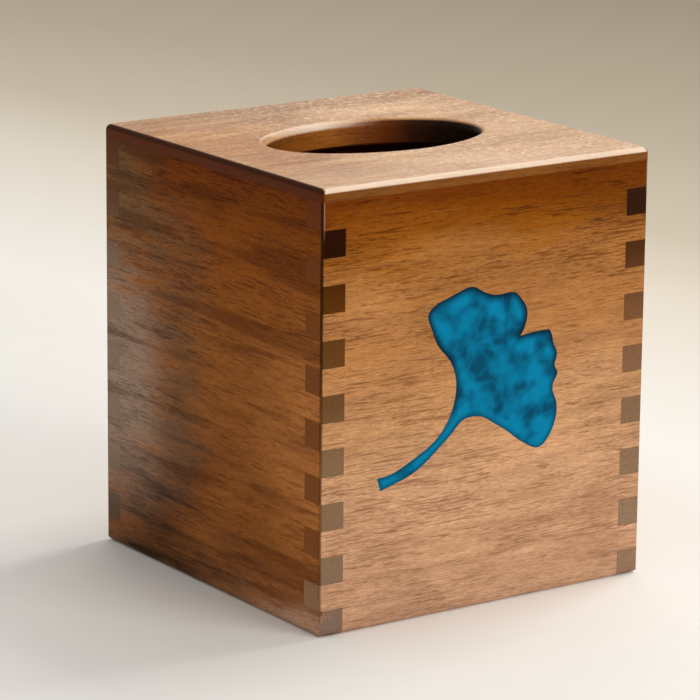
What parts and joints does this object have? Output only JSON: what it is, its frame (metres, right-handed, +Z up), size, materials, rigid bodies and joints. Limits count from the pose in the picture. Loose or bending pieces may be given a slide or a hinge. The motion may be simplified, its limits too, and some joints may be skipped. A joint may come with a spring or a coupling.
{
  "type": "tissue box cover",
  "caption": "Finger-jointed wooden cover that slips over a cube carton of tissues, with an oval mouth in its top board and a leaf-shaped resin inlay in its front wall.",
  "frame": {"origin": "middle of the base, on the surface that the cover stands on", "axes": "+X to the right along the front wall, +Y from the front wall to the back wall, +Z up"},
  "size_m": [0.1396, 0.1396, 0.1572],
  "materials": {
    "walnut_front": "satin lacquered walnut",
    "walnut_back": "satin lacquered walnut",
    "walnut_left": "satin lacquered walnut",
    "walnut_right": "satin lacquered walnut",
    "walnut_top": "satin lacquered walnut",
    "blue_resin": "polished cast resin"
  },
  "bodies": {
    "root": {"front_panel": "walnut_front", "back_panel": "walnut_back", "left_panel": "walnut_left", "right_panel": "walnut_right", "top_board": "walnut_top", "leaf_inlay": "blue_resin"}
  },
  "joints": []
}
